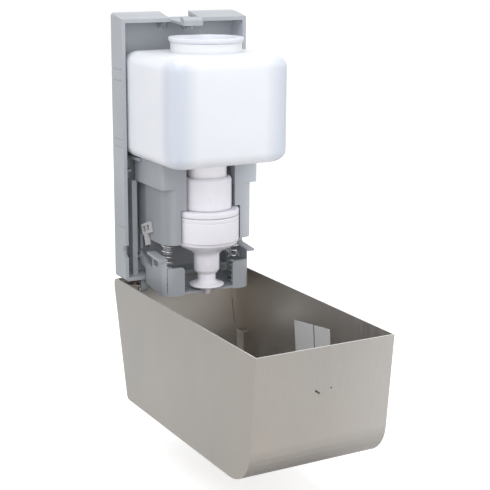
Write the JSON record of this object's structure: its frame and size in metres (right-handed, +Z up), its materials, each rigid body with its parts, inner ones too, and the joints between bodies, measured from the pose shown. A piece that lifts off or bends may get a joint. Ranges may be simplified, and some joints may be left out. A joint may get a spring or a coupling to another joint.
{
  "type": "wall-mounted soap dispenser",
  "caption": "Wall-mounted soap dispenser with a hinged steel cover swung down, refillable bottle, push button, spring-loaded tray and foam pump.",
  "frame": {"origin": "middle of the four wall screws, on the backplate's back face", "axes": "+X to the right seen from the room, +Y into the wall, +Z up"},
  "size_m": [0.116, 0.242, 0.3227],
  "materials": {
    "grey_plastic": "satin moulded plastic",
    "clip_plastic": "satin moulded plastic",
    "bottle_plastic": "milky translucent plastic",
    "white_plastic": "smooth moulded plastic",
    "natural_plastic": "moulded plastic",
    "brushed_steel": "brushed",
    "inner_steel": "brushed",
    "spring_steel": "drawn wire",
    "pin_steel": "turned",
    "seal_rubber": "matt",
    "sticker_paper": "matt"
  },
  "bodies": {
    "base": {"backplate": "grey_plastic", "hinge_pins": "pin_steel", "bottle_bracket": "grey_plastic", "bracket_screws": "pin_steel", "snap_clips": "clip_plastic", "bottle": "bottle_plastic", "neck_gasket": "seal_rubber", "pump_collar": "white_plastic", "pump_lid": "white_plastic", "pump_bowl": "white_plastic", "liquid_cylinder": "natural_plastic", "inlet_cage": "natural_plastic", "inlet_ball": "spring_steel", "latch_pin": "pin_steel", "pump_spring": "spring_steel", "tray_spring_left": "spring_steel", "tray_spring_right": "spring_steel"},
    "cap": {"filler_cap": "white_plastic", "cap_seal": "seal_rubber"},
    "latch": {"latch_tongue": "grey_plastic"},
    "plunger": {"plunger": "white_plastic", "liquid_piston": "natural_plastic", "air_piston": "natural_plastic", "nozzle_disc": "white_plastic", "foam_screen": "natural_plastic"},
    "tray": {"push_tray": "grey_plastic", "tray_pins": "pin_steel"},
    "cover": {"cover_shell": "brushed_steel", "hinge_ears": "inner_steel", "lock_keeper": "inner_steel", "button_ears": "inner_steel", "blank_sticker_large": "sticker_paper", "blank_sticker_small": "sticker_paper"},
    "button": {"push_button": "brushed_steel", "button_frame": "inner_steel", "button_arms": "inner_steel", "button_pin": "pin_steel"}
  },
  "joints": [
    {"name": "cover_hinge", "type": "hinge", "parent": "base", "child": "cover", "pos_m": [0, -0.013, -0.1305], "axis": [-1, 0, 0], "range_deg": [0, 90]},
    {"name": "latch_flex", "type": "hinge", "parent": "base", "child": "latch", "pos_m": [0, -0.0055, 0.0905], "axis": [1, 0, 0], "range_deg": [0, 2.5], "stiffness_Nm_per_rad": 0.5, "springref_deg": -1.15},
    {"name": "cap_lift", "type": "slide", "parent": "base", "child": "cap", "axis": [0, 0, 1], "range_m": [0, 0.0025]},
    {"name": "button_press", "type": "hinge", "parent": "cover", "child": "button", "pos_m": [0, -0.0678, -0.2185], "axis": [1, 0, 0], "range_deg": [0, 9.5]},
    {"name": "tray_pivot", "type": "hinge", "parent": "base", "child": "tray", "pos_m": [0, -0.01, -0.1045], "axis": [-1, 0, 0], "range_deg": [0, 9.5], "stiffness_Nm_per_rad": 0.6, "springref_deg": -4.58, "deforming": ["tray_spring_left", "tray_spring_right"]},
    {"name": "pump_stroke", "type": "slide", "parent": "base", "child": "plunger", "axis": [0, 0, 1], "range_m": [0, 0.0091], "stiffness_N_per_m": 10, "springref_m": -0.003, "deforming": ["pump_spring"]}
  ],
  "couplings": [
    {"joint": "tray_pivot", "follows": "button_press", "ratio": 1},
    {"joint": "pump_stroke", "follows": "button_press", "m_per_rad": 0.0548}
  ]
}
